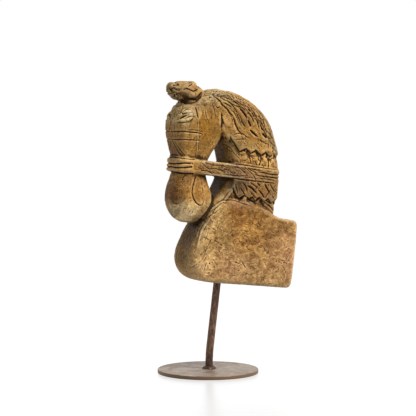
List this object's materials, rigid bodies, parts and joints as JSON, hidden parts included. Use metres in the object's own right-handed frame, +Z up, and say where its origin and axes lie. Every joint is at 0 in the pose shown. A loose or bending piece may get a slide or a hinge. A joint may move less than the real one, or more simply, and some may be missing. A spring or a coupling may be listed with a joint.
{
  "type": "driftwood horse head sculpture",
  "caption": "Carved driftwood horse head bust with a strap round the nose and neck, held up on a bent iron rod and round plate.",
  "frame": {"origin": "centre of the round plate's underside", "axes": "+Z up, the horse looks along -X, its left side faces -Y"},
  "size_m": [0.1746, 0.127, 0.3663],
  "materials": {
    "driftwood": "weathered, waxed carved driftwood, ochre with dark stains in the cuts",
    "rod_iron": "dark bronze-brown satin patina, coppery where rubbed",
    "plate_iron": "brown satin patina, darker at the edge and round the weld"
  },
  "bodies": {
    "root": {"horse_bust": "driftwood", "stand_rod": "rod_iron", "stand_base": "plate_iron"}
  },
  "joints": []
}
